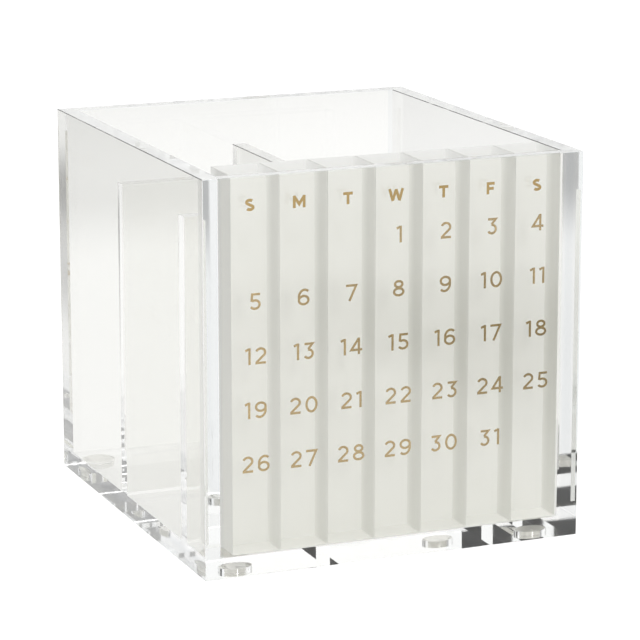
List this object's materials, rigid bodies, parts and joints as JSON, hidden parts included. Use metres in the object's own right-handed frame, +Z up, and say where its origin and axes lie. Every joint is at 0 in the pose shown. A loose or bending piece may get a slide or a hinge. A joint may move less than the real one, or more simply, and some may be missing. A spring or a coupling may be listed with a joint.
{
  "type": "perpetual desk calendar organizer",
  "caption": "Clear acrylic open-topped desk box with pen compartments behind a calendar front of loose upright date bars in a slot, on round stick-on feet.",
  "frame": {"origin": "under the middle of the box, on the surface that the feet stand on", "axes": "+Z up, -Y out of the calendar front, +X to the right as seen from the front"},
  "size_m": [0.15, 0.165, 0.15],
  "materials": {
    "clear_acrylic": "flame-polished clear",
    "bar_acrylic": "polished clear front over white backing",
    "foot_gel": "clear soft polyurethane"
  },
  "bodies": {
    "box": {"floor_panel": "clear_acrylic", "front_panel": "clear_acrylic", "back_panel": "clear_acrylic", "left_wall": "clear_acrylic", "right_wall": "clear_acrylic", "slot_wall": "clear_acrylic", "cross_divider": "clear_acrylic", "centre_divider": "clear_acrylic", "foot_front_left": "foot_gel", "foot_front_right": "foot_gel", "foot_back_left": "foot_gel", "foot_back_right": "foot_gel"},
    "bar_5": {"date_bar_5": "bar_acrylic"},
    "bar_6": {"date_bar_6": "bar_acrylic"},
    "bar_7": {"date_bar_7": "bar_acrylic"},
    "bar_1": {"date_bar_1": "bar_acrylic"},
    "bar_2": {"date_bar_2": "bar_acrylic"},
    "bar_3": {"date_bar_3": "bar_acrylic"},
    "bar_4": {"date_bar_4": "bar_acrylic"}
  },
  "joints": [
    {"name": "lift_bar_5", "type": "slide", "parent": "box", "child": "bar_5", "axis": [0, 0, 1], "range_m": [0, 0.15]},
    {"name": "lift_bar_6", "type": "slide", "parent": "box", "child": "bar_6", "axis": [0, 0, 1], "range_m": [0, 0.15]},
    {"name": "lift_bar_7", "type": "slide", "parent": "box", "child": "bar_7", "axis": [0, 0, 1], "range_m": [0, 0.15]},
    {"name": "lift_bar_1", "type": "slide", "parent": "box", "child": "bar_1", "axis": [0, 0, 1], "range_m": [0, 0.15]},
    {"name": "lift_bar_2", "type": "slide", "parent": "box", "child": "bar_2", "axis": [0, 0, 1], "range_m": [0, 0.15]},
    {"name": "lift_bar_3", "type": "slide", "parent": "box", "child": "bar_3", "axis": [0, 0, 1], "range_m": [0, 0.15]},
    {"name": "lift_bar_4", "type": "slide", "parent": "box", "child": "bar_4", "axis": [0, 0, 1], "range_m": [0, 0.15]}
  ]
}
